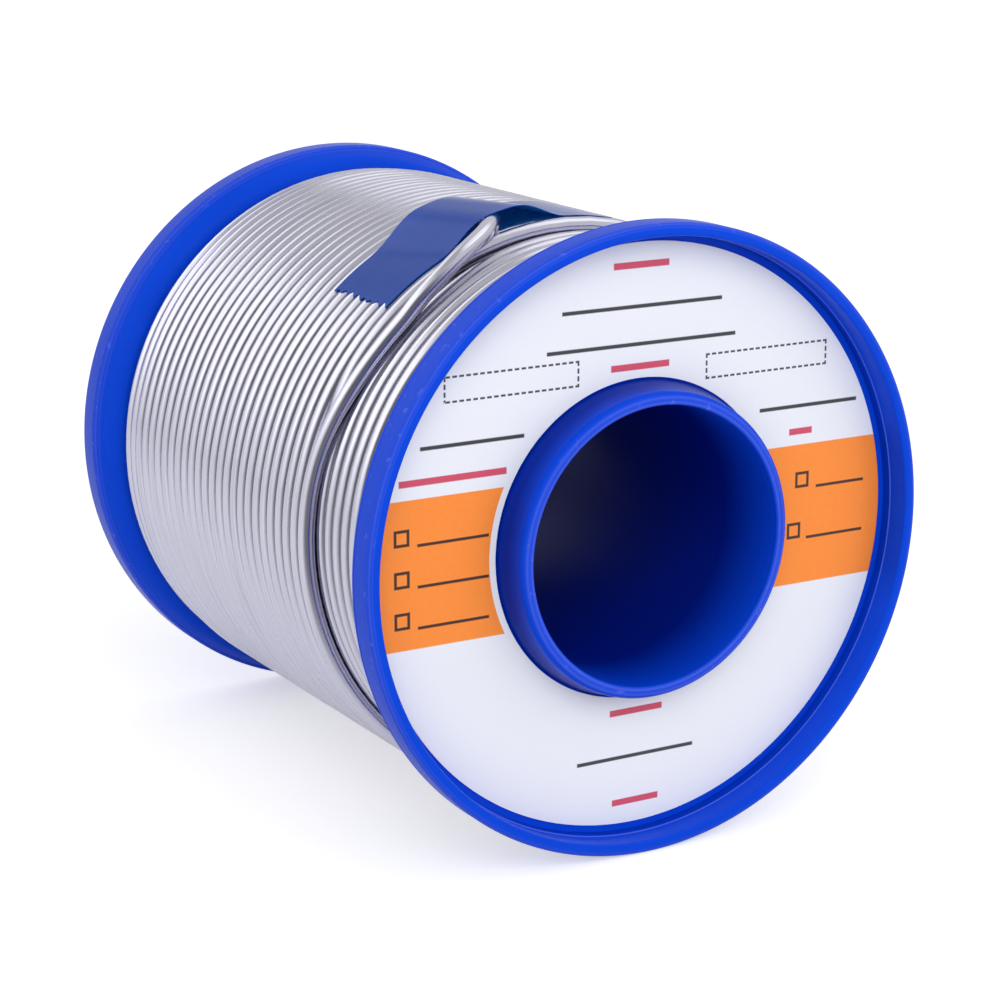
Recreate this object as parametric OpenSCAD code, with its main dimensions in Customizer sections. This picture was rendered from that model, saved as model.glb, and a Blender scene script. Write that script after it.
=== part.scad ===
// A spool of solder wire lying on its rims.
// The spool's axis is Y, the label faces -Y, +Z is up, and the origin is the centre of the spindle bore.

/* [Spool body] */
// Outside diameter of both flanges
flange_d = 72; // [68:0.5:84]
// Overall width, from rim face to rim face
spool_w = 79.5; // [64:0.5:100]
// Diameter of the spindle bore
bore_d = 32; // [26:0.1:33]
// Outside diameter of the barrel that the wire is wound on
barrel_d = 38.4; // [38.4:0.2:46]
// Width of each flange's outer edge
rim_w = 4; // [3:0.1:5]
// Radial wall of the raised rim
rim_wall = 1.6; // [1.2:0.1:3]
// Depth of the label's recess below the rim face
recess_depth = 4.15; // [3.5:0.05:6]
// Thickness of the flange's web
web_t = 2.2; // [1.6:0.1:4]
// How far the web's outer edge is drawn in from the rim, on the wire's side
web_inset = 1.8; // [1:0.1:3]
// Radius of the rim's outer corners
rim_round = 0.6; // [0.2:0.05:1]

/* [Collar round the bore] */
// Radial wall of the collar at its foot
collar_wall = 2.2; // [1.8:0.1:3]
// How much the collar's outer wall is stepped and tapered in by its lip
collar_taper = 0.7; // [0.2:0.05:1]
// How far the collar's lip stands out past the rim face
collar_proud = 0.3; // [0:0.05:1]
// Radius of the lip's corners
lip_round = 0.35; // [0.1:0.05:0.5]

/* [Joint between the two halves] */
// Length of the front half's spigot
spigot_len = 10; // [5:0.5:20]
// Radial wall of the spigot
spigot_wall = 1.6; // [1:0.1:2]
// Radial clearance of the spigot in its socket
spigot_gap = 0.05; // [0.05:0.01:0.2]
// Space left past the spigot's end
spigot_end_gap = 0.3; // [0.1:0.1:1]

/* [Label] */
// Thickness of the label
label_t = 0.15; // [0.1:0.01:0.4]
// Ring of bare recess floor outside the label
label_margin = 0.9; // [0.3:0.1:3]
// Clearance of the label's hole round the collar
label_hole_gap = 0.2; // [0.1:0.05:1]

/* [Wire] */
// Diameter of the wire
wire_d = 2; // [1.6:0.1:2.2]
// How far the outer layer lies below the flange's edge
winding_inset = 2; // [1.5:0.1:4]
// Radial step from one layer of wire to the next
layer_rise = 1.75; // [1.6:0.05:1.8]
// Bare width between the rear flange and the first turn of the outer layer
start_gap = 1.4; // [0.3:0.1:4]
// Width of the stretch at the front flange that the outer layer leaves bare
step_w = 11.5; // [7:0.5:20]
// Smallest gap drawn between two turns of the outer layer
turn_gap = 0.42; // [0.42:0.01:1]
// Part of a turn that the wire makes before its first full loop
lead_angle = 125; // [60:5:160]

/* [Tail of the wire] */
// Angle from the top, on the -X side, where the last loop ends and the tail starts
tail_angle = 90; // [80:1:100]
// Angle that the tail runs through
tail_sweep = 84; // [80:1:86]
// How far the tail swings out towards the front flange
tail_swing = 4; // [1:0.1:5]
// How far the tail crosses back over the outer layer
tail_cross = 15.9; // [10:0.1:18]

/* [Retaining tape] */
// Width of the tape
tape_w = 12.5; // [9:0.5:19]
// Thickness of the tape
tape_t = 0.15; // [0.1:0.01:0.4]
// Distance from the outer layer's front edge to the tape
tape_inset = 3.4; // [1:0.1:6]
// Angle from the top of the tape's end on the -X side
tape_near_angle = 41.5; // [34:0.5:60]
// Angle past the top of the tape's other end
tape_far_angle = 12; // [10:0.5:40]

/* [Hidden] */
$fn = 96;

// Clearance between the wound wire and the plastic, and between one layer and the next
seat_gap = 0.05;
// Most full loops that the outer layer shows
max_loops = 23;
// Rings in a full loop, and sides of a ring
loop_rings = 24;
ring_sides = 6;
// Angle between two rings of the tail
tail_step = 3.5;
// Sweep of the tail at which its swing ends, its climb starts and ends, and its crossing starts and ends
swing_end = 45;
climb_start = 30;
climb_end = 64;
cross_start = 62;
cross_end = 90;
// Angles between which the tape rises over the tail, and how far past the tail's end it falls back
arch_foot = 30;
arch_top = 19;
arch_overlap = 3;
arch_fall = 11;
// Straight pieces in a rounded corner
corner_steps = 5;
// Chamfer where the flange's outer edge meets its inner side
edge_chamfer = 0.4;
// Depth and height of the step line on the collar's outer wall
step_line_depth = 1.3;
step_line = 0.2;
// Degrees in half a turn
half_turn = 180;

bore_r = bore_d / 2;
flange_r = flange_d / 2;
barrel_r = barrel_d / 2;
half_w = spool_w / 2;
recess_r = flange_r - rim_wall;
collar_r = bore_r + collar_wall;
lip_r = collar_r - collar_taper;
web_depth = recess_depth + web_t;
web_y = half_w - web_depth;
spigot_r = bore_r + spigot_wall;

wire_r = wire_d / 2;
winding_r = flange_r - winding_inset;
outer_r = winding_r - wire_r;
core_r = outer_r * cos(half_turn / loop_rings) - wire_r - seat_gap;

first_y = web_y - start_gap - wire_r;
last_y = -web_y + step_w + wire_r;
layer_travel = first_y - last_y;
lead_turns = lead_angle / 360;
loops = min(max_loops, floor(layer_travel / (wire_d + turn_gap) - lead_turns));
pitch = layer_travel / (loops + lead_turns);

// The wire leaves its slot along a tangent, and joins the outer layer where that tangent reaches it
start_r = outer_r - layer_rise;
start_run = sqrt(outer_r * outer_r - start_r * start_r);
join_angle = tail_angle + 360 * (loops + lead_turns);
slot_angle = join_angle + acos(start_r / outer_r);
tail_r = outer_r + wire_d + turn_gap;

tape_front_y = last_y - wire_r + tape_inset;
tape_step = 1.5;
tape_lift = tail_r + wire_r + 2 * seat_gap - winding_r;

// Angle of a full turn of the axes that lays a turned shape along Y
lay_over = 90;

function arc(centre, radius, from, to) =
    [for (i = [0:corner_steps])
        let (a = from + (to - from) * i / corner_steps)
        centre + radius * [cos(a), sin(a)]];

// Runs smoothly from 0 at a to 1 at b
function ease(x, a, b) =
    let (t = min(1, max(0, (x - a) / (b - a))))
    t * t * (3 - 2 * t);

// A point at an angle from the top towards -X
function round_axis(radius, angle, y) = [-radius * sin(angle), y, radius * cos(angle)];

// Collar, recess, rim and web in one outline: radius, and depth below the rim face
function collar_outline() = concat(
    arc([bore_r + lip_round, lip_round - collar_proud], lip_round, 180, 270),
    arc([lip_r - lip_round, lip_round - collar_proud], lip_round, 270, 360),
    [
        [lip_r, step_line_depth],
        [lip_r + step_line, step_line_depth],
        [collar_r, recess_depth],
    ]
);

function flange_outline() = concat(
    [[recess_r, recess_depth]],
    arc([recess_r + rim_round / 2, rim_round / 2], rim_round / 2, 180, 270),
    arc([flange_r - rim_round, rim_round], rim_round, 270, 360),
    [
        [flange_r, rim_w - edge_chamfer],
        [flange_r - edge_chamfer, rim_w],
        [flange_r - web_inset, web_depth],
        [barrel_r, web_depth],
    ]
);

module front_outline() {
    polygon(concat(collar_outline(), flange_outline(), [
        [barrel_r, half_w],
        [spigot_r, half_w],
        [spigot_r, half_w + spigot_len],
        [bore_r, half_w + spigot_len],
    ]));
}

module rear_outline() {
    socket_r = spigot_r + spigot_gap;
    socket_floor = half_w - spigot_len - spigot_end_gap;
    polygon(concat(collar_outline(), flange_outline(), [
        [barrel_r, half_w],
        [socket_r, half_w],
        [socket_r, socket_floor],
        [bore_r, socket_floor],
    ]));
}

// Front flange, collar and half of the barrel, with the spigot that joins the halves
module front_spool_half() {
    color("royalblue")
        translate([0, -half_w, 0])
            rotate([-lay_over, 0, 0])
                rotate_extrude() front_outline();
}

// Rear flange, collar and half of the barrel, with the socket
module rear_spool_half() {
    color("royalblue")
        translate([0, half_w, 0])
            rotate([lay_over, 0, 0])
                rotate_extrude() rear_outline();
}

// Ring of paper on the floor of the front recess
module front_label() {
    color("ghostwhite")
        translate([0, -half_w + recess_depth, 0])
            rotate([lay_over, 0, 0])
                difference() {
                    cylinder(h = label_t, r = recess_r - label_margin);
                    translate([0, 0, -label_t])
                        cylinder(h = 3 * label_t, r = collar_r + label_hole_gap);
                }
}

// Slot in the inner layers that the outer layer's wire comes out of
module start_slot() {
    slot_w = wire_d + 2 * seat_gap;
    rotate([0, -slot_angle, 0])
        translate([0, first_y - slot_w / 2, start_r - wire_r - seat_gap])
            cube([2 * start_run, slot_w, wire_d + 2 * layer_rise]);
}

// The inner layers as one plain ring on the barrel
module wire_inner_layers() {
    core_w = 2 * (web_y - seat_gap);
    color("lightgray")
        difference() {
            translate([0, web_y - seat_gap, 0])
                rotate([lay_over, 0, 0])
                    difference() {
                        cylinder(h = core_w, r = core_r);
                        translate([0, 0, -1])
                            cylinder(h = core_w + 2, r = barrel_r + seat_gap);
                    }
            start_slot();
        }
}

// Straight run out of the slot, square to its end wall
start_points = [for (x = [seat_gap, wire_d, start_run / 2])
    let (tangent = [-cos(slot_angle), 0, -sin(slot_angle)])
    round_axis(start_r, slot_angle, first_y) - x * tangent];

// The outer layer's helix, from the end of the straight run to the start of the tail
helix_steps = round((loops + lead_turns) * loop_rings);
helix_points = [for (i = [0:helix_steps])
    let (share = i / helix_steps)
    round_axis(
        outer_r,
        join_angle + (tail_angle - join_angle) * share,
        first_y - layer_travel * share
    )];

// The tail swings forward, climbs on to the outer layer and crosses back over it
tail_points = [for (sweep = [tail_step:tail_step:tail_sweep])
    let (swing = tail_swing * ease(sweep, 0, swing_end))
    let (cross = tail_cross * ease(sweep, cross_start, cross_end))
    let (climb = (tail_r - outer_r) * ease(sweep, climb_start, climb_end))
    round_axis(outer_r + climb, tail_angle - sweep, last_y - swing + cross)];

function unit(v) = v / norm(v);

open_path = concat(start_points, helix_points, tail_points);
path_end = open_path[len(open_path) - 1];
end_direction = unit(path_end - open_path[len(open_path) - 2]);
wire_path = concat(open_path, [path_end + wire_d * end_direction]);
path_count = len(wire_path);

// Least distance between the wire's surface and itself, past the next half loop
self_gap = min([for (i = [0:path_count - 1])
    for (j = [i + loop_rings / 2:1:path_count - 1])
        norm(wire_path[i] - wire_path[j])]) - wire_d;
echo(loops = loops, pitch = pitch, least_gap = self_gap);

function path_direction(i) =
    unit(wire_path[min(i + 1, path_count - 1)] - wire_path[max(i - 1, 0)]);

// Six points round the wire, square to its path
function wire_ring(i) =
    let (along = path_direction(i))
    let (outward = unit([wire_path[i][0], 0, wire_path[i][2]]))
    let (side = unit(cross(along, outward)))
    let (up = cross(side, along))
    [for (k = [0:ring_sides - 1])
        let (a = 360 * k / ring_sides)
        wire_path[i] + wire_r * (cos(a) * up + sin(a) * side)];

// The outer layer and its tail as one unbroken tube
module wire_outer_layer() {
    points = [for (i = [0:path_count - 1]) each wire_ring(i)];
    walls = [for (i = [0:path_count - 2])
        for (k = [0:ring_sides - 1])
            let (here = i * ring_sides)
            let (next = here + ring_sides)
            let (k2 = (k + 1) % ring_sides)
            each [
                [here + k, here + k2, next + k2],
                [here + k, next + k2, next + k],
            ]];
    last = (path_count - 1) * ring_sides;
    caps = [for (k = [1:ring_sides - 2])
        each [
            [0, k + 1, k],
            [last, last + k, last + k + 1],
        ]];
    color("silver") polyhedron(points, concat(walls, caps));
}

// Inner radius of the tape: down on the wire at both ends, and over the tail between them
function tape_r(angle) =
    let (fall = tail_angle - tail_sweep - arch_overlap)
    let (risen = ease(angle, fall - arch_fall, fall) - ease(angle, arch_top, arch_foot))
    winding_r + seat_gap + tape_lift * risen;

// Strip of film over the end of the wire
module retaining_tape() {
    arch = tape_near_angle + tape_far_angle;
    steps = ceil(arch / tape_step);
    angles = [for (i = [0:steps]) -tape_far_angle + arch * i / steps];
    under = [for (a = angles) tape_r(a) * [-sin(a), cos(a)]];
    over = [for (i = [steps:-1:0])
        let (a = angles[i])
        (tape_r(a) + tape_t) * [-sin(a), cos(a)]];
    color("slateblue")
        translate([0, tape_front_y + tape_w, 0])
            rotate([lay_over, 0, 0])
                linear_extrude(height = tape_w) polygon(concat(under, over));
}

front_spool_half();
rear_spool_half();
front_label();
wire_inner_layers();
wire_outer_layer();
retaining_tape();
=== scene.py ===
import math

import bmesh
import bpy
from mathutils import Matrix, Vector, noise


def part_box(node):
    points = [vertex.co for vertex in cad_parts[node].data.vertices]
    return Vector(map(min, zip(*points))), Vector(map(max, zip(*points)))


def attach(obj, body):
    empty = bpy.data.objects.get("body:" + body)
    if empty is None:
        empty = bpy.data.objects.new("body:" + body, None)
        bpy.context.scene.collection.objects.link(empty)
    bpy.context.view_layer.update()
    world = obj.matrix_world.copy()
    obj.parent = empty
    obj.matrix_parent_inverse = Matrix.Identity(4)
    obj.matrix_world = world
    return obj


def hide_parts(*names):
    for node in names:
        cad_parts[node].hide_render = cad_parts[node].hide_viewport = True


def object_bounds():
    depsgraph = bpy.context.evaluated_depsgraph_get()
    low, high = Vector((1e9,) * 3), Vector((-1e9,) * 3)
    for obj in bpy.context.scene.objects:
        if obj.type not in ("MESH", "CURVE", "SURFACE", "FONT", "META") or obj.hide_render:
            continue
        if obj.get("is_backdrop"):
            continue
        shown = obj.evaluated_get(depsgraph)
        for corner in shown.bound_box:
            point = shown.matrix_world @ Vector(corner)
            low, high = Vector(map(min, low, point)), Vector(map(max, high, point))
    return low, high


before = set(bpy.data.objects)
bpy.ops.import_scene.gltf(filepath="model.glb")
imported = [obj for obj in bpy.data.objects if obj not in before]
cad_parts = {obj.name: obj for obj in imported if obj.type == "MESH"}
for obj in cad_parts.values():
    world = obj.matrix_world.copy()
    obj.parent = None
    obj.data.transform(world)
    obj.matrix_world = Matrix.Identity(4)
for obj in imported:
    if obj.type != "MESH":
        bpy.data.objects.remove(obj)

# %% [markdown]
# # A spool of solder wire
#
# Two blue mouldings make the spool. Each has a flange with a raised rim, a collar round the bore and half
# of the barrel. A paper label lies in the front flange's recess. The wire is wound in layers, and its end
# climbs over the last layer and is held down by a strip of blue film.
#
# The spool's axis is Y, the label faces -Y and +Z is up. All sizes below are written in millimetres and
# are multiplied by MM, because Blender's own unit is the metre.

MM = 0.001
FULL_TURN = 2 * math.pi
cad_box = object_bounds()
print("frame nodes:", sorted(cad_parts))
print("frame box:", [tuple(round(c / MM, 2) for c in corner) for corner in cad_box], "mm")

# %% [markdown]
# ## Sizes
#
# A few driving sizes are named once, as a maker's drawing would have them. The flange's radius and the
# spool's width are read from the frame, so that the dressed pieces lie exactly where the frame's do.

# %% Driving sizes of the spool
_, front_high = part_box("front_spool_half")
_, rear_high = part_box("rear_spool_half")
COLLAR_PROUD = 0.3
FLANGE_R = front_high.x / MM
HALF_W = rear_high.y / MM - COLLAR_PROUD
BORE_R = 16.0
BARREL_R = 19.2
RIM_W = 4.0
RIM_WALL = 1.6
RECESS_R = FLANGE_R - RIM_WALL
RECESS_DEPTH = 4.15
WEB_T = 2.2
WEB_DEPTH = RECESS_DEPTH + WEB_T
WEB_INSET = 1.8
COLLAR_WALL = 2.2
COLLAR_TAPER = 0.7
COLLAR_R = BORE_R + COLLAR_WALL
LIP_R = COLLAR_R - COLLAR_TAPER
SPIGOT_WALL = 1.6
SPIGOT_R = BORE_R + SPIGOT_WALL
SPIGOT_LEN = 10.0
SPIGOT_GAP = 0.05
SPIGOT_END_GAP = 0.3
WEB_Y = HALF_W - WEB_DEPTH
print(f"flange radius {FLANGE_R:.2f} mm, half width {HALF_W:.2f} mm, web at {WEB_Y:.2f} mm")

# %% [markdown]
# ## Camera, floor and light
#
# The camera comes first, because every later look at the model goes through it. It stands low in front of
# the label, turned towards the wire's side, with a long lens so that the flanges keep their shape.

# %% Camera
CAMERA_TURN = math.radians(30.064)
CAMERA_DIP = math.radians(14.616)
CAMERA_DISTANCE = 336.04
CAMERA_SHIFT_RIGHT = 2.482
CAMERA_SHIFT_UP = -3.472
SENSOR_WIDTH = 36
LENS = 98.64
NEAR_CLIP = 10.0

right = Vector((math.cos(CAMERA_TURN), -math.sin(CAMERA_TURN), 0))
forward = Vector((
    math.cos(CAMERA_DIP) * math.sin(CAMERA_TURN),
    math.cos(CAMERA_DIP) * math.cos(CAMERA_TURN),
    -math.sin(CAMERA_DIP),
))
upward = right.cross(forward)

camera_data = bpy.data.cameras.new("camera")
camera_data.sensor_width = SENSOR_WIDTH
camera_data.lens = LENS
camera_data.clip_start = NEAR_CLIP * MM
camera = bpy.data.objects.new("camera", camera_data)
bpy.context.scene.collection.objects.link(camera)
place = CAMERA_SHIFT_RIGHT * right + CAMERA_SHIFT_UP * upward - CAMERA_DISTANCE * forward
turn = Matrix((right, upward, -forward)).transposed().to_4x4()
camera.matrix_world = Matrix.Translation(place * MM) @ turn
bpy.context.scene.camera = camera
print("camera at", [round(c) for c in place], "mm")

# %% [markdown]
# Every piece is built in a bmesh and handed to one small function, which makes the object. Another gives it
# its material and hides the frame nodes that it stands for. Nodes are added by a short helper too, so that
# each material reads as a list of what it is made of.

# %% Helpers for pieces and nodes
SHARP_ANGLE = math.radians(32)


def new_piece(name, bm, smooth=True):
    """Turns a bmesh into an object, with smooth faces and sharp edges where the shape turns a corner."""
    if smooth:
        for face in bm.faces:
            face.smooth = True
        for edge in bm.edges:
            edge.smooth = edge.calc_face_angle(0) < SHARP_ANGLE
    mesh = bpy.data.meshes.new(name)
    bm.to_mesh(mesh)
    bm.free()
    piece = bpy.data.objects.new(name, mesh)
    bpy.context.scene.collection.objects.link(piece)
    print(f"{name}: {len(mesh.vertices)} vertices, {len(mesh.polygons)} faces")
    return piece


def dress(piece, material, slot, *nodes):
    """Gives a piece its material, hangs it on the root body, and hides the frame nodes that it stands for."""
    piece.data.materials.append(material)
    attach(piece, "root")
    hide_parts(*nodes)


def rgb(red, green, blue):
    """A colour as it is seen on a screen, 0 to 255, as the linear value that Blender works in."""
    def linear(c):
        c = c / 255
        return c / 12.92 if c <= 0.04045 else ((c + 0.055) / 1.055) ** 2.4
    return (linear(red), linear(green), linear(blue), 1)


WHITE = rgb(255, 255, 255)
BLACK = rgb(0, 0, 0)


def node(tree, kind, links=None, **settings):
    """Adds a node, sets its properties and sockets, and links sockets by name or number."""
    made = tree.nodes.new(kind)
    for name, value in settings.items():
        setattr(made, name, value)
    for socket, source in (links or {}).items():
        if isinstance(source, bpy.types.NodeSocket):
            tree.links.new(source, made.inputs[socket])
        else:
            made.inputs[socket].default_value = source
    return made


def calc(tree, operation, *values):
    """One Math node; its values are numbers or other nodes' sockets."""
    return node(tree, "ShaderNodeMath", dict(enumerate(values)), operation=operation).outputs[0]


def blend(tree, share, first, second):
    """Mixes two colours by a share."""
    mix = node(tree, "ShaderNodeMix", {0: share, 6: first, 7: second}, data_type="RGBA")
    return mix.outputs[2]


def fade(tree, value, start, end, low=0.0, high=1.0):
    """Runs from low at start to high at end, and stays level beyond them."""
    return node(tree, "ShaderNodeMapRange", {0: value, 1: start, 2: end, 3: low, 4: high}).outputs[0]


def grain(tree, place, scale, detail=2.0, roughness=0.5):
    """A soft uneven grey, mostly between 0.3 and 0.7, at a place."""
    return node(tree, "ShaderNodeTexNoise", {
        "Vector": place, "Scale": scale, "Detail": detail, "Roughness": roughness,
    }).outputs[0]


def lobe(tree, looked, direction, start, end, low, high):
    """A soft round patch of the surroundings: low outside it and high in its middle."""
    near = node(tree, "ShaderNodeVectorMath", {0: looked, 1: direction}, operation="DOT_PRODUCT")
    return fade(tree, near.outputs["Value"], start, end, low, high)


# %% [markdown]
# The floor is one large matt sheet. It glows a little, so that it joins the white room without an edge and
# still shows the spool's soft shadow. Its mirror image in the wire is darker towards the camera, where a
# real table would be shaded by whoever stands at it.

# %% Floor
FLOOR_SIZE = 6000.0
FLOOR_GLOW = 0.5
MIRRORED_GLOW = 0.3
DARK_SIDE = 0.2
SHADED_FLOOR = (-forward, 0.52, 0.86, 0.0, 1 - DARK_SIDE)

floor_material = bpy.data.materials.new("pale_floor")
floor_material.use_nodes = True
tree = floor_material.node_tree
tree.nodes.clear()
path = node(tree, "ShaderNodeLightPath")
direct = calc(tree, "MAXIMUM", path.outputs["Is Camera Ray"], path.outputs["Is Transmission Ray"])
floor_place = node(tree, "ShaderNodeTexCoord").outputs["Object"]
from_spool = node(tree, "ShaderNodeVectorMath", {0: floor_place}, operation="NORMALIZE").outputs[0]
shaded = lobe(tree, from_spool, *SHADED_FLOOR)
shaded = calc(tree, "MULTIPLY", path.outputs["Is Glossy Ray"], shaded)
mirrored = calc(tree, "SUBTRACT", path.outputs["Is Glossy Ray"], shaded)
glow_level = calc(tree, "MAXIMUM",
                  calc(tree, "MULTIPLY", direct, FLOOR_GLOW),
                  calc(tree, "MULTIPLY", mirrored, MIRRORED_GLOW))
floor_colour = blend(tree, shaded, rgb(226, 226, 229), BLACK)
matt = node(tree, "ShaderNodeBsdfDiffuse", {"Color": floor_colour})
glow = node(tree, "ShaderNodeEmission", {"Color": WHITE, "Strength": glow_level})
both = node(tree, "ShaderNodeAddShader", {0: matt.outputs[0], 1: glow.outputs[0]})
node(tree, "ShaderNodeOutputMaterial", {"Surface": both.outputs[0]})

bm = bmesh.new()
bmesh.ops.create_grid(bm, x_segments=1, y_segments=1, size=FLOOR_SIZE / 2 * MM)
bmesh.ops.translate(bm, verts=bm.verts, vec=(0, 0, -FLANGE_R * MM))
floor = new_piece("floor", bm, smooth=False)
floor.data.materials.append(floor_material)
floor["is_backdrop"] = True

# %% [markdown]
# The room is a plain white one with a greyer ceiling. Bright metal shows its shape by what it mirrors, so
# in reflections a window stands on the left above a lit wall, and a wide lamp hangs on the right. The place
# overhead is greyer, and the camera's side is dark, as it is in a real studio. Each patch is given by its
# direction, the cosines at which it begins and is full, and its light outside and inside.

# %% World
SKY_LIGHT = 0.94
CEILING = 0.68
WALLS = 0.76
OVERHEAD = 0.75
WINDOW = (Vector((-0.62, 0.35, 0.70)).normalized(), 0.69, 0.8, 0.0, 0.85)
TOP_LAMP = (Vector((0.5, 0.0, 0.87)).normalized(), 0.9, 0.96, 0.0, 0.75)
LEFT_WALL = (Vector((-1.0, 0.1, -0.05)).normalized(), 0.75, 0.95, 0.0, 0.3)
CAMERA_SIDE = (-forward, 0.68, 0.93, 1.0, DARK_SIDE)

world = bpy.data.worlds.new("studio")
world.use_nodes = True
bpy.context.scene.world = world
tree = world.node_tree
tree.nodes.clear()
looked = node(tree, "ShaderNodeTexCoord").outputs["Generated"]
height = node(tree, "ShaderNodeSeparateXYZ", {0: looked}).outputs[2]
ceiling = fade(tree, height, 0.15, 0.6, low=1.0, high=CEILING)
sill = fade(tree, height, 0.05, 0.42)
lintel = fade(tree, height, 0.76, 0.9, low=1.0, high=0.0)
window = calc(tree, "MULTIPLY", lobe(tree, looked, *WINDOW), calc(tree, "MULTIPLY", sill, lintel))
overhead = fade(tree, height, 0.8, 0.95, low=1.0, high=OVERHEAD)
room = calc(tree, "MULTIPLY_ADD", overhead, WALLS, window)
room = calc(tree, "ADD", room, lobe(tree, looked, *TOP_LAMP))
room = calc(tree, "ADD", room, lobe(tree, looked, *LEFT_WALL))
room = calc(tree, "MULTIPLY", room, lobe(tree, looked, *CAMERA_SIDE))
lit = calc(tree, "MULTIPLY", ceiling, SKY_LIGHT)
path = node(tree, "ShaderNodeLightPath")
plain = calc(tree, "MAXIMUM", path.outputs["Is Camera Ray"], path.outputs["Is Transmission Ray"])
mirrored = calc(tree, "MULTIPLY_ADD", path.outputs["Is Glossy Ray"], calc(tree, "SUBTRACT", room, lit), lit)
strength = calc(tree, "MAXIMUM", plain, mirrored)
sky = node(tree, "ShaderNodeBackground", {"Color": WHITE, "Strength": strength})
node(tree, "ShaderNodeOutputWorld", {"Surface": sky.outputs[0]})
print("room:", len(tree.nodes), "nodes")

# %% [markdown]
# Two large lamps light the spool and keep its shadow soft. Nothing mirrors them, because the room already
# holds every bright patch that should show in the metal.

# %% Softboxes
def softbox(name, towards, distance, width, height, radiance):
    """A soft rectangular lamp that faces the spool; its size in millimetres and its brightness as seen."""
    lamp_data = bpy.data.lights.new(name, "AREA")
    lamp_data.shape = "RECTANGLE"
    lamp_data.size = width * MM
    lamp_data.size_y = height * MM
    lamp_data.energy = radiance * math.pi * lamp_data.size * lamp_data.size_y
    lamp = bpy.data.objects.new(name, lamp_data)
    bpy.context.scene.collection.objects.link(lamp)
    direction = Vector(towards).normalized()
    facing = direction.to_track_quat("Z", "Y").to_matrix().to_4x4()
    lamp.matrix_world = Matrix.Translation(direction * distance * MM) @ facing
    lamp.visible_glossy = False
    print(f"{name}: {lamp_data.energy:.2f} W")


softbox("key_softbox", (-0.3, -0.75, 0.55), 650, width=460, height=360, radiance=2.7)
softbox("fill_softbox", (0.75, -0.6, 0.35), 900, width=600, height=600, radiance=1.0)
bpy.context.scene.view_settings.view_transform = "Standard"

# %% [markdown]
# ## The two mouldings
#
# A spool half is a turned shape, so it starts as its outline: the half section that a lathe would cut. The
# outline is spun round the axis and closes on itself. Corners are arcs, because a moulded edge always
# catches a thin line of light. A small step runs round the wall of the recess, and the mould's parting line
# is a fine groove in the flange's edge.

# %% Outline of a spool half
CORNER_STEPS = 5
SPIN_STEPS = 240
RIM_ROUND = 0.6
INNER_ROUND = 0.3
LIP_ROUND = 0.35
EDGE_CHAMFER = 0.4
TAPER_DEPTH = 1.3
OUTER_LIP_ROUND = 0.9
RIM_STEP_DEPTH = 2.9
RIM_STEP = 0.12
PARTING_DEPTH = RIM_W - 0.62
PARTING_GROOVE = 0.09
PARTING_HALF_W = 0.13


def arc(centre_r, centre_depth, radius, start, end, steps=CORNER_STEPS):
    """Points of a rounded corner, as radius and depth below the rim face."""
    angles = [math.radians(start + (end - start) * i / steps) for i in range(steps + 1)]
    return [(centre_r + radius * math.cos(a), centre_depth + radius * math.sin(a)) for a in angles]


def eased(before, corner, after, reach=1.6, steps=6):
    """Points that lead round a corner in a soft curve, starting and ending a short way from it."""
    here = Vector(corner)
    start = here + (Vector(before) - here).normalized() * reach
    end = here + (Vector(after) - here).normalized() * reach
    shares = [i / steps for i in range(steps + 1)]
    return [tuple((1 - t) ** 2 * start + 2 * t * (1 - t) * here + t * t * end) for t in shares]


collar = (
    arc(BORE_R + LIP_ROUND, LIP_ROUND - COLLAR_PROUD, LIP_ROUND, 180, 270)
    + arc(LIP_R - OUTER_LIP_ROUND, OUTER_LIP_ROUND - COLLAR_PROUD, OUTER_LIP_ROUND, 270, 360)
    + [(LIP_R, TAPER_DEPTH), (COLLAR_R, RECESS_DEPTH)]
)
flange = (
    [(RECESS_R, RECESS_DEPTH), (RECESS_R, RIM_STEP_DEPTH), (RECESS_R + RIM_STEP, RIM_STEP_DEPTH)]
    + arc(RECESS_R + RIM_STEP + INNER_ROUND, INNER_ROUND, INNER_ROUND, 180, 270)
    + arc(FLANGE_R - RIM_ROUND, RIM_ROUND, RIM_ROUND, 270, 360)
    + [
        (FLANGE_R, PARTING_DEPTH - PARTING_HALF_W),
        (FLANGE_R - PARTING_GROOVE, PARTING_DEPTH),
        (FLANGE_R, PARTING_DEPTH + PARTING_HALF_W),
    ]
    + arc(FLANGE_R - EDGE_CHAMFER, RIM_W - EDGE_CHAMFER, EDGE_CHAMFER, 0, 90)
    + eased((FLANGE_R - EDGE_CHAMFER, RIM_W), (FLANGE_R - WEB_INSET, WEB_DEPTH), (BARREL_R, WEB_DEPTH))
    + [(BARREL_R, WEB_DEPTH), (BARREL_R, HALF_W)]
)

socket_floor = HALF_W - SPIGOT_LEN - SPIGOT_END_GAP
front_outline = collar + flange + [
    (SPIGOT_R, HALF_W), (SPIGOT_R, HALF_W + SPIGOT_LEN), (BORE_R, HALF_W + SPIGOT_LEN),
]
rear_outline = collar + flange + [
    (SPIGOT_R + SPIGOT_GAP, HALF_W), (SPIGOT_R + SPIGOT_GAP, socket_floor), (BORE_R, socket_floor),
]
print("outline points:", len(front_outline), len(rear_outline))


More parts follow.
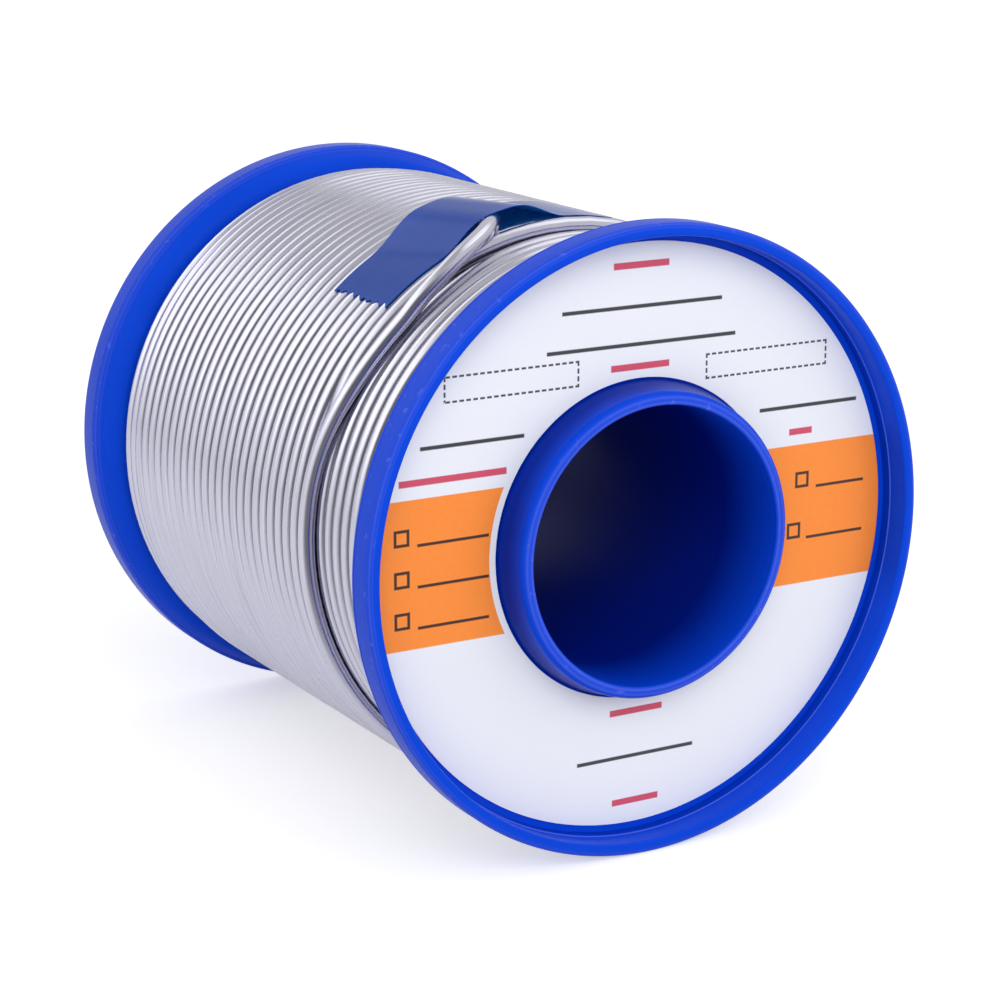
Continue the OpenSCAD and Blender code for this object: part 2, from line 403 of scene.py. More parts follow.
# %% Spinning an outline round the spool's axis
def turned(name, outline, face_y, inwards, steps=SPIN_STEPS):
    """Spins a closed outline round Y; depths are measured from face_y in the direction inwards."""
    bm = bmesh.new()
    ring = [bm.verts.new((r * MM, (face_y + inwards * depth) * MM, 0)) for r, depth in outline]
    edges = [bm.edges.new((a, b)) for a, b in zip(ring, ring[1:] + ring[:1])]
    bmesh.ops.spin(
        bm, geom=ring + edges, cent=(0, 0, 0), axis=(0, 1, 0), dvec=(0, 0, 0),
        angle=FULL_TURN, steps=steps, use_merge=True,
    )
    bmesh.ops.remove_doubles(bm, verts=bm.verts, dist=0.001 * MM)
    bmesh.ops.recalc_face_normals(bm, faces=bm.faces)
    return new_piece(name, bm)


front_half = turned("front_moulding", front_outline, -HALF_W, 1)
rear_half = turned("rear_moulding", rear_outline, HALF_W, -1)

# %% [markdown]
# ### Moulded plastic
#
# Coloured polystyrene is glossy but never perfect. The tool leaves faint rings in it, handling leaves fine
# scratches, and the outer edges carry small pale nicks. Rings and edge wear follow the distance from the
# axis, so one node group works out that distance, and the plastic, the paper and the film all read it.

# %% Node group: distance from the spool's axis, in millimetres
def new_group(name, inputs, outputs):
    """A shader node group with named number, colour or vector sockets."""
    group = bpy.data.node_groups.new(name, "ShaderNodeTree")
    for label, kind, default in inputs:
        socket = group.interface.new_socket(label, in_out="INPUT", socket_type=kind)
        if default is not None:
            socket.default_value = default
    for label, kind in outputs:
        group.interface.new_socket(label, in_out="OUTPUT", socket_type=kind)
    return group, group.nodes.new("NodeGroupInput"), group.nodes.new("NodeGroupOutput")


def use_group(tree, group, links=None):
    """Places a node group in a material or in another group."""
    return node(tree, "ShaderNodeGroup", links, node_tree=group)


axis_group, _, out = new_group("place_round_axis", [], [
    ("Radius", "NodeSocketFloat"), ("Along", "NodeSocketFloat"), ("Across", "NodeSocketFloat"),
    ("Up", "NodeSocketFloat"), ("Place", "NodeSocketVector"),
])
where = node(axis_group, "ShaderNodeTexCoord").outputs["Object"]
in_mm = node(axis_group, "ShaderNodeVectorMath", {0: where, 3: 1 / MM}, operation="SCALE").outputs[0]
parts = node(axis_group, "ShaderNodeSeparateXYZ", {0: in_mm})
flat = node(axis_group, "ShaderNodeCombineXYZ", {0: parts.outputs[0], 1: parts.outputs[2]})
radius = node(axis_group, "ShaderNodeVectorMath", {0: flat.outputs[0]}, operation="LENGTH").outputs["Value"]
axis_group.links.new(radius, out.inputs["Radius"])
axis_group.links.new(parts.outputs[1], out.inputs["Along"])
axis_group.links.new(parts.outputs[0], out.inputs["Across"])
axis_group.links.new(parts.outputs[2], out.inputs["Up"])
axis_group.links.new(in_mm, out.inputs["Place"])
print("node group:", axis_group.name)

# %% Node group: scratches and nicks
wear_group, given, out = new_group("handling_wear", [
    ("Place", "NodeSocketVector", None),
    ("Edge", "NodeSocketFloat", 0.0),
    ("Nick Size", "NodeSocketFloat", 1.0),
], [("Nicks", "NodeSocketFloat"), ("Scratches", "NodeSocketFloat")])
nick_noise = grain(wear_group, given.outputs["Place"], given.outputs["Nick Size"], 3.0, 0.6)
nicks = calc(wear_group, "MULTIPLY", fade(wear_group, nick_noise, 0.62, 0.7), given.outputs["Edge"])
stretched = node(wear_group, "ShaderNodeMapping", {
    "Vector": given.outputs["Place"], "Rotation": (0.5, 0.3, 0.9), "Scale": (0.22, 3.2, 0.9),
})
scratches = fade(wear_group, grain(wear_group, stretched.outputs[0], 1.3, 4.0, 0.7), 0.6, 0.75)
wear_group.links.new(nicks, out.inputs["Nicks"])
wear_group.links.new(scratches, out.inputs["Scratches"])
print("node group:", wear_group.name)

# %% [markdown]
# The plastic starts from a blue that varies a little in soft clouds and in fine rings. Its gloss is kept low,
# because in a white room a strong one would grey the blue wherever it is seen at a flat angle.

# %% Plastic, its skin
def blank_material(name, **constants):
    """A material with one Principled BSDF whose constant values are set on its own sockets."""
    material = bpy.data.materials.new(name)
    material.use_nodes = True
    tree = material.node_tree
    tree.nodes.clear()
    shader = node(tree, "ShaderNodeBsdfPrincipled", {k.replace("_", " "): v for k, v in constants.items()})
    node(tree, "ShaderNodeOutputMaterial", {"Surface": shader.outputs[0]})
    return material, tree, shader


def add_relief(tree, shader, height, strength, distance):
    """Bumps the surface by a height, of which 1 stands for so many millimetres."""
    bump = node(tree, "ShaderNodeBump", {"Strength": strength, "Distance": distance * MM, "Height": height})
    tree.links.new(bump.outputs[0], shader.inputs["Normal"])


RING_SCALE = 3.4
EDGE_WORN_FROM = 0.7
EDGE_WORN_AT = 0.1
LIP_WORN = 0.28

plastic, tree, shader = blank_material("moulded_blue_plastic", IOR=1.5, Specular_IOR_Level=0.06)
axis = use_group(tree, axis_group)
from_axis, along = axis.outputs["Radius"], axis.outputs["Along"]
far_out = fade(tree, from_axis, FLANGE_R - EDGE_WORN_FROM, FLANGE_R - EDGE_WORN_AT)
lip = fade(tree, calc(tree, "ABSOLUTE", along), HALF_W, HALF_W + LIP_WORN)
edge = calc(tree, "MAXIMUM", far_out, lip)
wear = use_group(tree, wear_group, {"Place": axis.outputs["Place"], "Edge": edge, "Nick Size": 0.9})
cloud = grain(tree, axis.outputs["Place"], 0.09, 3.0)
ring_place = node(tree, "ShaderNodeCombineXYZ", {
    0: calc(tree, "MULTIPLY", from_axis, RING_SCALE), 1: calc(tree, "MULTIPLY", along, RING_SCALE),
})
rings = grain(tree, ring_place.outputs[0], 1.0, 3.0)
skin_tone = calc(tree, "MULTIPLY_ADD", rings, 0.5, calc(tree, "MULTIPLY", cloud, 0.5))
body_colour = blend(tree, skin_tone, rgb(3, 59, 198), rgb(11, 77, 226))
print("plastic's skin:", len(tree.nodes), "nodes")

# %% [markdown]
# The bore, the collar's outer side and the recess wall below its step get a painted shade: a deeper blue
# that stands for the light that bounces between blue walls there. The step's narrow ledge gets a painted
# highlight, a pale blue. Each of these places is found by its distance from the axis and its depth below the
# rim face.

# %% Plastic, painted shade in the deep places and a painted highlight on the ledge
# The deeper blues are painted shade, and the pale one is a painted highlight.
SHADE_PAINTED_BLUE = rgb(0, 38, 150)
BORE_SHADE_PAINTED_BLUE = rgb(0, 28, 136)
LEDGE_HIGHLIGHT_PAINTED_BLUE = rgb(92, 116, 232)
BORE_SHADE_DEPTH = 10.0
COLLAR_SHADE_DEPTH = 2.6
WALL_SHADE = 0.5
LEDGE_SHINE = 0.8

depth = calc(tree, "SUBTRACT", HALF_W, calc(tree, "ABSOLUTE", along))
bore_painted_shade = calc(tree, "MULTIPLY",
               calc(tree, "LESS_THAN", from_axis, BORE_R + 0.02),
               fade(tree, depth, LIP_ROUND, BORE_SHADE_DEPTH))
collar_painted_shade = calc(tree, "MULTIPLY",
                 calc(tree, "GREATER_THAN", from_axis, BORE_R + 0.3),
                 calc(tree, "LESS_THAN", from_axis, COLLAR_R + 0.1))
collar_painted_shade = calc(tree, "MULTIPLY", collar_painted_shade, fade(tree, depth, 0.1, COLLAR_SHADE_DEPTH))
wall_painted_shade = calc(tree, "MULTIPLY",
                  calc(tree, "COMPARE", from_axis, RECESS_R, 0.04),
                  calc(tree, "LESS_THAN", depth, RECESS_DEPTH + 0.01))
ledge_painted_highlight = calc(tree, "MULTIPLY",
                calc(tree, "COMPARE", from_axis, RECESS_R + RIM_STEP / 2, RIM_STEP),
                calc(tree, "COMPARE", depth, RIM_STEP_DEPTH, 0.05))
# Painted shade in the bore, on the collar's outer side and on the recess wall, and a painted highlight on the
# ledge.
body_colour = blend(tree, bore_painted_shade, body_colour, BORE_SHADE_PAINTED_BLUE)
body_colour = blend(tree, collar_painted_shade, body_colour, SHADE_PAINTED_BLUE)
body_colour = blend(tree, calc(tree, "MULTIPLY", wall_painted_shade, WALL_SHADE), body_colour, SHADE_PAINTED_BLUE)
body_colour = blend(tree, calc(tree, "MULTIPLY", ledge_painted_highlight, LEDGE_SHINE), body_colour, LEDGE_HIGHLIGHT_PAINTED_BLUE)
print("with its deeper places:", len(tree.nodes), "nodes")

# %% [markdown]
# Along the edges the plastic is rubbed pale in thin turned lines, with a few nicks across them. Rings and
# nicks are in the relief too, and fine scratches only there and in the gloss, so that all catch the light.

# %% Plastic, worn edges and relief
PALE_EDGE = rgb(84, 104, 224)
PALE_NICK = rgb(126, 140, 236)
NICK_SHARE = 0.26

line_place = node(tree, "ShaderNodeCombineXYZ", {0: from_axis}).outputs[0]
turned_lines = fade(tree, grain(tree, line_place, RING_SCALE), 0.46, 0.58)
edge_share = calc(tree, "MULTIPLY", edge, calc(tree, "MULTIPLY_ADD", turned_lines, 0.4, 0.16))
worn_colour = blend(tree, edge_share, body_colour, PALE_EDGE)
nick_share = calc(tree, "MULTIPLY", wear.outputs["Nicks"], NICK_SHARE)
tree.links.new(blend(tree, nick_share, worn_colour, PALE_NICK), shader.inputs["Base Color"])
fine = grain(tree, axis.outputs["Place"], 2.2, 4.0)
height = calc(tree, "MULTIPLY_ADD", rings, 0.6, calc(tree, "MULTIPLY", fine, 0.25))
height = calc(tree, "MULTIPLY_ADD", wear.outputs["Nicks"], -0.5, height)
height = calc(tree, "MULTIPLY_ADD", wear.outputs["Scratches"], -0.12, height)
add_relief(tree, shader, height, 0.35, 0.04)
rough = calc(tree, "MULTIPLY_ADD", wear.outputs["Scratches"], 0.12, 0.3)
rough = calc(tree, "MULTIPLY_ADD", wear.outputs["Nicks"], 0.2, rough)
tree.links.new(rough, shader.inputs["Roughness"])
print("plastic:", len(tree.nodes), "nodes")

dress(front_half, plastic, "spool_plastic", "front_spool_half")
dress(rear_half, plastic, "spool_plastic", "rear_spool_half")

# %% [markdown]
# ## The label
#
# The label is a ring of coated paper stuck to the recess floor. It is spun from a thin outline as well,
# with its outer edge lifted by a hair, as a stuck ring never lies perfectly flat. Its print is generic: an
# orange band, empty dashed boxes and rules to write on, with no words on them.

# %% Label shape
LABEL_T = 0.15
LABEL_MARGIN = 0.9
LABEL_HOLE_GAP = 0.2
LABEL_LIFT = 0.03
BAND_STEPS = 12

_, label_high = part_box("front_label")
label_floor = label_high.y / MM
hole_r = COLLAR_R + LABEL_HOLE_GAP
label_r = RECESS_R - LABEL_MARGIN
radii = [hole_r + (label_r - hole_r) * i / BAND_STEPS for i in range(BAND_STEPS + 1)]
top = [(r, LABEL_T + LABEL_LIFT * ((r - hole_r) / (label_r - hole_r)) ** 4) for r in radii]
under = [(r, max(0.0, d - LABEL_T)) for r, d in reversed(top)]
label = turned("paper_label", [(r, -d) for r, d in top + under], label_floor, 1)
print(f"label: radius {hole_r:.2f} to {label_r:.2f} mm on the recess floor at y {label_floor:.2f} mm")

# %% [markdown]
# ### Printed marks
#
# Print is a set of masks: a number for each place on the paper, 1 under ink and 0 elsewhere. One group makes
# a bar. Another makes a dashed frame: a thin line along a bar's sides, cut by a row of gaps. Their edges
# fade over a tenth of a millimetre, as ink on coated paper does.

# %% Node groups: a printed bar, and a dashed frame
INK_EDGE = 0.05
mark_inputs = [
    (name, "NodeSocketFloat", default) for name, default in (
        ("X", 0.0), ("Z", 0.0), ("Centre X", 0.0), ("Centre Z", 0.0),
        ("Half Width", 1.0), ("Half Height", 1.0),
    )
]
bar_group, given, out = new_group("printed_bar", mark_inputs, [("Ink", "NodeSocketFloat")])


def reach(tree, given, place, centre, half):
    """How far inside a bar's side a place lies, in millimetres."""
    offset = calc(tree, "SUBTRACT", given.outputs[place], given.outputs[centre])
    return calc(tree, "SUBTRACT", given.outputs[half], calc(tree, "ABSOLUTE", offset))


inside = calc(bar_group, "MINIMUM",
              reach(bar_group, given, "X", "Centre X", "Half Width"),
              reach(bar_group, given, "Z", "Centre Z", "Half Height"))
bar_group.links.new(fade(bar_group, inside, -INK_EDGE, INK_EDGE), out.inputs["Ink"])

DASH = 0.85
GAP_SHARE = 0.16
frame_group, given, out = new_group(
    "dashed_frame", mark_inputs + [("Line", "NodeSocketFloat", 0.12)], [("Ink", "NodeSocketFloat")])
side_x = reach(frame_group, given, "X", "Centre X", "Half Width")
side_z = reach(frame_group, given, "Z", "Centre Z", "Half Height")
nearest = calc(frame_group, "MINIMUM", side_x, side_z)
line = calc(frame_group, "SUBTRACT", given.outputs["Line"], calc(frame_group, "ABSOLUTE", nearest))
line = fade(frame_group, line, -INK_EDGE, INK_EDGE)


def dashes(place):
    """A row of dashes along X or Z: 1 on a dash and 0 in a gap."""
    wave = calc(frame_group, "PINGPONG", given.outputs[place], DASH / 2)
    return calc(frame_group, "GREATER_THAN", wave, DASH * GAP_SHARE)


on_upright = calc(frame_group, "LESS_THAN", side_x, side_z)
dash = calc(frame_group, "ADD",
            calc(frame_group, "MULTIPLY", on_upright, dashes("Z")),
            calc(frame_group, "MULTIPLY", calc(frame_group, "SUBTRACT", 1.0, on_upright), dashes("X")))
frame_group.links.new(calc(frame_group, "MULTIPLY", line, dash), out.inputs["Ink"])
print("node groups:", bar_group.name, frame_group.name)

# %% [markdown]
# The marks themselves are short lists of centre and half size in millimetres, X to the right and Z up. Dark
# rules stand where a user writes, short red bars head them, and small boxes on the band can be ticked.

# %% Where the marks lie
DARK_RULES = [
    (0.3, 26.4, 10.4, 0.22), (0.3, 22.2, 12.3, 0.22), (-21.2, 13.6, 6.4, 0.22), (23.0, 12.8, 6.8, 0.22),
    (0.0, -25.5, 7.8, 0.22), (-23.6, 3.1, 4.4, 0.17), (-23.6, -1.5, 4.4, 0.17), (-23.6, -6.1, 4.4, 0.17),
    (27.8, 3.0, 3.4, 0.17), (27.2, -3.0, 4.0, 0.17),
]
TICK_BOXES = [(-29.9, 4.1), (-29.9, -0.5), (-29.9, -5.1), (22.4, 4.0), (21.4, -2.0)]
TICK_BOX = 0.95
TICK_LINE = 0.17
RED_BARS = [
    (0.0, 31.0, 3.6, 0.38), (0.0, 19.7, 3.8, 0.38), (-23.6, 10.0, 6.6, 0.38), (22.0, 9.8, 1.6, 0.38),
    (0.0, -20.1, 3.5, 0.38), (0.0, -30.9, 3.1, 0.38),
]
DASHED_FRAMES = [(-16.3, 19.65, 8.3, 1.35), (17.0, 18.75, 8.2, 1.35)]
ORANGE_BAND = (0.0, -0.1, 40.0, 8.3)
BARE_RING = 0.9
print("marks:", len(DARK_RULES) + len(TICK_BOXES) + len(RED_BARS) + len(DASHED_FRAMES))

# %% [markdown]
# The paper is an off-white with a faint grain, and the inks are laid over it one after the other: the orange
# band, the red bars and the dark marks. Orange and dark ink are a little glossier than bare paper, and the
# sheet has slow waves.

# %% Label material
paper, tree, shader = blank_material("printed_label_paper", IOR=1.46)
axis = use_group(tree, axis_group)
across, up_label = axis.outputs["Across"], axis.outputs["Up"]


def mark(group, x, z, half_width, half_height):
    """The ink of one mark, as a socket."""
    return use_group(tree, group, {
        "X": across, "Z": up_label, "Centre X": x, "Centre Z": z,
        "Half Width": half_width, "Half Height": half_height,
    }).outputs["Ink"]


def all_of(masks):
    """The strongest of several masks."""
    total = masks[0]
    for mask in masks[1:]:
        total = calc(tree, "MAXIMUM", total, mask)
    return total


boxes = []
for x, z in TICK_BOXES:
    outer_box = mark(bar_group, x, z, TICK_BOX, TICK_BOX)
    inner_box = mark(bar_group, x, z, TICK_BOX - 2 * TICK_LINE, TICK_BOX - 2 * TICK_LINE)
    boxes.append(calc(tree, "SUBTRACT", outer_box, inner_box))
dark_ink = all_of(
    [mark(bar_group, *place) for place in DARK_RULES]
    + [mark(frame_group, *place) for place in DASHED_FRAMES]
    + boxes
)
red_ink = all_of([mark(bar_group, *place) for place in RED_BARS])
past_ring = fade(tree, axis.outputs["Radius"], COLLAR_R + BARE_RING, COLLAR_R + BARE_RING + 2 * INK_EDGE)
orange_ink = calc(tree, "MULTIPLY", mark(bar_group, *ORANGE_BAND), past_ring)

fibre = grain(tree, axis.outputs["Place"], 1.7, 5.0)
tone = grain(tree, axis.outputs["Place"], 0.05)
white = blend(tree, tone, rgb(235, 237, 244), rgb(238, 240, 246))
worn_orange = blend(tree, fibre, rgb(255, 138, 46), rgb(255, 148, 58))
colour = blend(tree, orange_ink, white, worn_orange)
colour = blend(tree, calc(tree, "MULTIPLY", red_ink, 0.92), colour, rgb(208, 26, 76))
colour = blend(tree, calc(tree, "MULTIPLY", dark_ink, 0.96), colour, rgb(26, 26, 34))
tree.links.new(colour, shader.inputs["Base Color"])
ink_gloss = calc(tree, "MULTIPLY_ADD", calc(tree, "MAXIMUM", dark_ink, orange_ink), -0.08, 0.46)
tree.links.new(calc(tree, "MULTIPLY_ADD", fibre, 0.1, ink_gloss), shader.inputs["Roughness"])
waves = grain(tree, axis.outputs["Place"], 0.12)
add_relief(tree, shader, calc(tree, "MULTIPLY_ADD", waves, 6.0, fibre), 0.3, 0.03)
print("label paper:", len(tree.nodes), "nodes")
dress(label, paper, "label_paper", "front_label")

# %% [markdown]
# ## The wire
#
# Wound wire is one long tube, so the same function makes every stretch of it. A flat grid has one column of
# points for each station along the wire. Each point is rolled round its station, and the seam is merged.
# The grid brings its own UV map along, so that the drawn metal's streaks can follow the wire.

# %% A tube led along stations
WIRE_R = 1.0
END_ROUND_STEPS = 5
TIP_LENGTH = 0.7
TIP_FLAT = 0.02


def smoothstep(x, start, end):
    """Runs smoothly from 0 at start to 1 at end."""
    t = min(1.0, max(0.0, (x - start) / (end - start)))
    return t * t * (3 - 2 * t)


def round_axis(angle, y, radius):
    """A point at an angle in degrees from the top towards -X."""
    a = math.radians(angle)
    return Vector((-radius * math.sin(a), y, radius * math.cos(a)))


def rounded_ends(places, radius):
    """Stations with their tube radius; a few more at each end close the wire with a rounded tip."""
    def tip(end, inner):
        out_of_end = (end - inner).normalized()
        turns = [math.pi / 2 * (i + 1) / END_ROUND_STEPS for i in range(END_ROUND_STEPS)]
        return [
            (end + out_of_end * radius * TIP_LENGTH * math.sin(a), max(TIP_FLAT, math.cos(a)) * radius)
            for a in turns
        ]
    start = list(reversed(tip(places[0], places[1])))
    finish = tip(places[-1], places[-2])
    return start + [(place, radius) for place in places] + finish


def tube(bm, uv, places, radius, sides):
    """Rolls a grid into a tube round the stations, and returns the length of wire that it holds."""
    stations = rounded_ends(places, radius)
    count = len(stations) - 1
    made = bmesh.ops.create_grid(bm, x_segments=count, y_segments=sides, size=0.5, calc_uvs=True)
    run = [0.0]
    for (a, _), (b, _) in zip(stations, stations[1:]):
        run.append(run[-1] + (b - a).length)
    frames = []
    for i in range(count + 1):
        along = (stations[min(i + 1, count)][0] - stations[max(i - 1, 0)][0]).normalized()
        outwards = Vector((stations[i][0].x, 0, stations[i][0].z)).normalized()
        side = along.cross(outwards).normalized()
        frames.append((side.cross(along), side))
    column = {vert: round((vert.co.x + 0.5) * count) for vert in made["verts"]}
    row = {vert: vert.co.y + 0.5 for vert in made["verts"]}
    for vert in made["verts"]:
        for loop in vert.link_loops:
            loop[uv].uv = (run[column[vert]], row[vert])
    for vert in made["verts"]:
        place, thickness = stations[column[vert]]
        up, side = frames[column[vert]]
        a = FULL_TURN * row[vert]
        vert.co = (place - thickness * (math.cos(a) * up + math.sin(a) * side)) * MM
    bmesh.ops.remove_doubles(bm, verts=made["verts"], dist=0.0005 * MM)
    return run[-1]


# %% [markdown]
# The wire is laid by a machine, so its turns are even but not perfect. A slow, smooth noise moves each turn
# by a few hundredths of a millimetre, and its neighbour nearly as much, so that the turns never collide.
# Progress along the wire is counted in degrees, and the wire runs towards smaller angles all the time. Before
# the even part it climbs up from the layer below, through two places given by angle, y and radius.

# %% Turns of the outer layer, up to the place where the even winding ends
PITCH = 2.01
OUTER_R = 33.0
LAYER_RISE = 1.75
LOWER_R = OUTER_R - LAYER_RISE
TURNS = 25
REFERENCE_ANGLE = 61.0
FIRST_TURN_Y = 30.85
DEGREES_A_STATION = 3.0
WOBBLE = 0.035
WOBBLE_ROUND = 1.3
WOBBLE_ALONG = 0.55
SAG_NEAR_FLANGE = 0.35
SAG_UNTIL = (-180, 700)
EVEN_START = -200
EVEN_STOPS_AT = 73
CLIMB_IN = [(250, 32.0, LOWER_R), (225, 31.95, LOWER_R + 0.45)]


def wobble(progress, seed):
    """A smooth unevenness in millimetres, much the same on neighbouring turns."""
    a = math.radians(progress)
    across, up = WOBBLE_ROUND * math.cos(a), WOBBLE_ROUND * math.sin(a)
    return WOBBLE * noise.noise(Vector((across + seed, up, progress / 360 * WOBBLE_ALONG)))


def helix_y(progress):
    """The y of the wire's middle at a progress, before any unevenness."""
    return FIRST_TURN_Y - PITCH * (progress + REFERENCE_ANGLE) / 360


def even_turn(progress):
    """Angle, y and radius of the evenly wound wire at a progress."""
    first_turns = 1 - smoothstep(progress, *SAG_UNTIL)
    radius = OUTER_R - SAG_NEAR_FLANGE * first_turns + wobble(progress, 3.0)
    return (-progress, helix_y(progress) + wobble(progress, 17.0), radius)


even_end = 360 * (TURNS - 1) - EVEN_STOPS_AT
even_count = round((even_end - EVEN_START) / DEGREES_A_STATION)
even_part = [
    even_turn(EVEN_START + (even_end - EVEN_START) * i / even_count) for i in range(even_count + 1)
]
print(f"even part: {even_count} stations, y {even_part[0][1]:.2f} to {even_part[-1][1]:.2f} mm")

# %% [markdown]
# After the even part the wire drops into the step at the layer's front edge, rises again beside its own
# last turn, swings out towards the front flange, and then turns back over the layer and under the film.
# These places are listed, one row for each: turn number, angle, y and radius. A smooth curve runs
# through them.

# %% Last turns and tail, as places to pass through
LAST_TURNS = [
    (24, 45, -17.50, 33.00), (24, 0, -17.70, 33.00), (24, -60, -17.85, 33.00), (24, -120, -18.00, 32.90),
    (24, -165, -18.05, 32.10), (25, 155, -18.10, 31.45), (25, 110, -18.15, 31.30), (25, 82, -18.20, 31.35),
    (25, 73, -18.45, 31.60), (25, 67, -18.75, 32.00), (25, 61, -19.10, 32.50), (25, 55, -19.40, 32.90),
    (25, 48, -19.50, 33.00), (25, 28, -19.65, 33.05), (25, 0, -19.75, 33.05), (25, -60, -19.90, 33.05),
    (25, -120, -20.00, 33.00), (26, 180, -19.80, 33.00), (26, 155, -19.55, 33.00), (26, 130, -19.32, 33.00),
    (26, 100, -19.22, 33.02), (26, 84, -19.25, 33.02), (26, 76, -19.42, 33.02), (26, 70, -19.80, 33.02),
    (26, 64, -20.42, 33.02), (26, 58, -21.08, 33.03), (26, 52, -21.65, 33.05), (26, 47, -22.05, 33.12),
    (26, 42, -22.42, 33.30), (26, 37, -22.80, 33.85), (26, 31, -22.85, 34.35), (26, 25.8, -22.30, 34.70),
    (26, 20.3, -20.95, 34.85), (26, 16.6, -19.40, 34.95), (26, 13.8, -17.60, 35.00),
    (26, 12.7, -15.30, 35.00), (26, 12.7, -12.00, 35.00), (26, 13.4, -7.60, 34.93),
]
STATIONS_A_SPAN = 9


def smooth_through(rows, steps):
    """A smooth curve through rows of numbers, which passes every row and doesn't overshoot much."""
    padded = [rows[0]] + rows + [rows[-1]]
    curve = []
    for before, a, b, after in zip(padded, padded[1:], padded[2:], padded[3:]):
        for i in range(steps):
            t = i / steps
            curve.append(tuple(
                0.5 * (2 * p1 + (p2 - p0) * t + (2 * p0 - 5 * p1 + 4 * p2 - p3) * t * t
                       + (3 * p1 - p0 - 3 * p2 + p3) * t * t * t)
                for p0, p1, p2, p3 in zip(before, a, b, after)
            ))
    return curve + [rows[-1]]


last_rows = [(angle - 360 * turn_number, y, r) for turn_number, angle, y, r in LAST_TURNS]
last_part = smooth_through(even_part[-2:] + last_rows, STATIONS_A_SPAN)[STATIONS_A_SPAN + 1:]
climb_part = smooth_through(CLIMB_IN + even_part[:2], STATIONS_A_SPAN)[:-STATIONS_A_SPAN]
outer_places = [round_axis(angle, y, r) for angle, y, r in climb_part + even_part[1:] + last_part]

SIDES = 18
bm = bmesh.new()
uv = bm.loops.layers.uv.new("along_wire")
outer_length = tube(bm, uv, outer_places, WIRE_R, SIDES)
outer_wire = new_piece("outer_wire_with_tail", bm)
print(f"outer wire: {outer_length / 1000:.2f} m on the outer layer")

# %% [markdown]
# The layer below shows at the front, where the outer layer stops one step short of the flange. It is wound
# the other way along the spool. Its first turn comes up along the flange from the layer beneath. One place
# is left free for the turn that drops in from above, and the front turns lie a little loose near the top. A
# ribbed core stands for all the wire that can't be seen.

# %% Lower layer and core
LOWER_FRONT_Y = -32.35
LOWER_REAR_Y = 31.9
FREE_PLACE_Y = -20.29
LOWER_START_ANGLE = 120.0
LOWER_RISE_ANGLE = 240.0
SKIP_BETWEEN = (60, 280)
LOOSE_FROM_Y = -21.2
LOOSE_LIFT = 0.5
LOOSE_RISES = (-100, -20)
LOOSE_FALLS = (12, 52)


def lower_y(progress):
    """The lower layer moves to the rear, and skips one pitch beyond the free place."""
    even = LOWER_FRONT_Y + PITCH * max(0.0, progress) / 360
    at_free_place = 360 * (FREE_PLACE_Y - LOWER_FRONT_Y) / PITCH
    return even + PITCH * smoothstep(progress - at_free_place, *SKIP_BETWEEN)


lower_turns = (LOWER_REAR_Y - LOWER_FRONT_Y) / PITCH - 1
lower_start = -LOWER_RISE_ANGLE
lower_end = lower_turns * 360
lower_count = round((lower_end - lower_start) / DEGREES_A_STATION)
lower_places = []
for i in range(lower_count + 1):
    progress = lower_start + (lower_end - lower_start) * i / lower_count
    uneven = wobble(progress + 5000, 29.0)
    angle = (LOWER_START_ANGLE - progress + 180) % 360 - 180
    loose = smoothstep(angle, *LOOSE_RISES) - smoothstep(angle, *LOOSE_FALLS)
    if lower_y(progress) > LOOSE_FROM_Y:
        loose = 0.0
    beside = PITCH * (360 + min(0.0, progress)) / 360
    drop = math.sqrt(max(0.0, (2 * WIRE_R) ** 2 - beside ** 2))
    lift = LOOSE_LIFT * loose + wobble(progress, 41.0) - drop
    lower_places.append(round_axis(angle, lower_y(progress) + uneven, LOWER_R + lift))

LOWER_SIDES = 12
bm = bmesh.new()
uv = bm.loops.layers.uv.new("along_wire")
lower_length = tube(bm, uv, lower_places, WIRE_R, LOWER_SIDES)
lower_wire = new_piece("lower_wire_layer", bm)
print(f"lower layer: {lower_turns:.1f} turns, {lower_length / 1000:.2f} m")

CORE_DROP = 0.55
CORE_R = LOWER_R - CORE_DROP
CORE_GROOVE = 0.25
CORE_CLEAR = 0.05
CORE_STEPS = 120
core_half = WEB_Y - CORE_CLEAR
rib_count = int(2 * core_half / (PITCH / 2))
core_top = [
    (CORE_R - CORE_GROOVE * (i % 2), 2 * core_half * i / rib_count) for i in range(rib_count + 1)
]
core_outline = core_top + [(BARREL_R + CORE_CLEAR, 2 * core_half), (BARREL_R + CORE_CLEAR, 0.0)]
wire_core = turned("hidden_wire_core", core_outline, -core_half, 1, steps=CORE_STEPS)

# %% [markdown]
# ### Drawn solder
#
# Tin-lead wire is soft and bright. It is a metal with a slightly lavender grey, long fine streaks from the
# drawing die, and small dull patches where it has been touched. The streaks follow the UV map: long along
# the wire and narrow round it.

# %% Node group: drawing streaks
PATCHES_ALONG = 0.25
streak_group, given, out = new_group("drawing_streaks", [
    ("Round", "NodeSocketFloat", 20.0), ("Along", "NodeSocketFloat", 0.04),
], [("Streaks", "NodeSocketFloat"), ("Patches", "NodeSocketFloat")])
along_wire = node(streak_group, "ShaderNodeUVMap", uv_map="along_wire")
uv_parts = node(streak_group, "ShaderNodeSeparateXYZ", {0: along_wire.outputs[0]})
turn_angle = calc(streak_group, "MULTIPLY", uv_parts.outputs[1], FULL_TURN)
ring_place = node(streak_group, "ShaderNodeCombineXYZ", {
    0: calc(streak_group, "MULTIPLY", calc(streak_group, "COSINE", turn_angle), given.outputs["Round"]),
    1: calc(streak_group, "MULTIPLY", calc(streak_group, "SINE", turn_angle), given.outputs["Round"]),
    2: calc(streak_group, "MULTIPLY", uv_parts.outputs[0], given.outputs["Along"]),
})
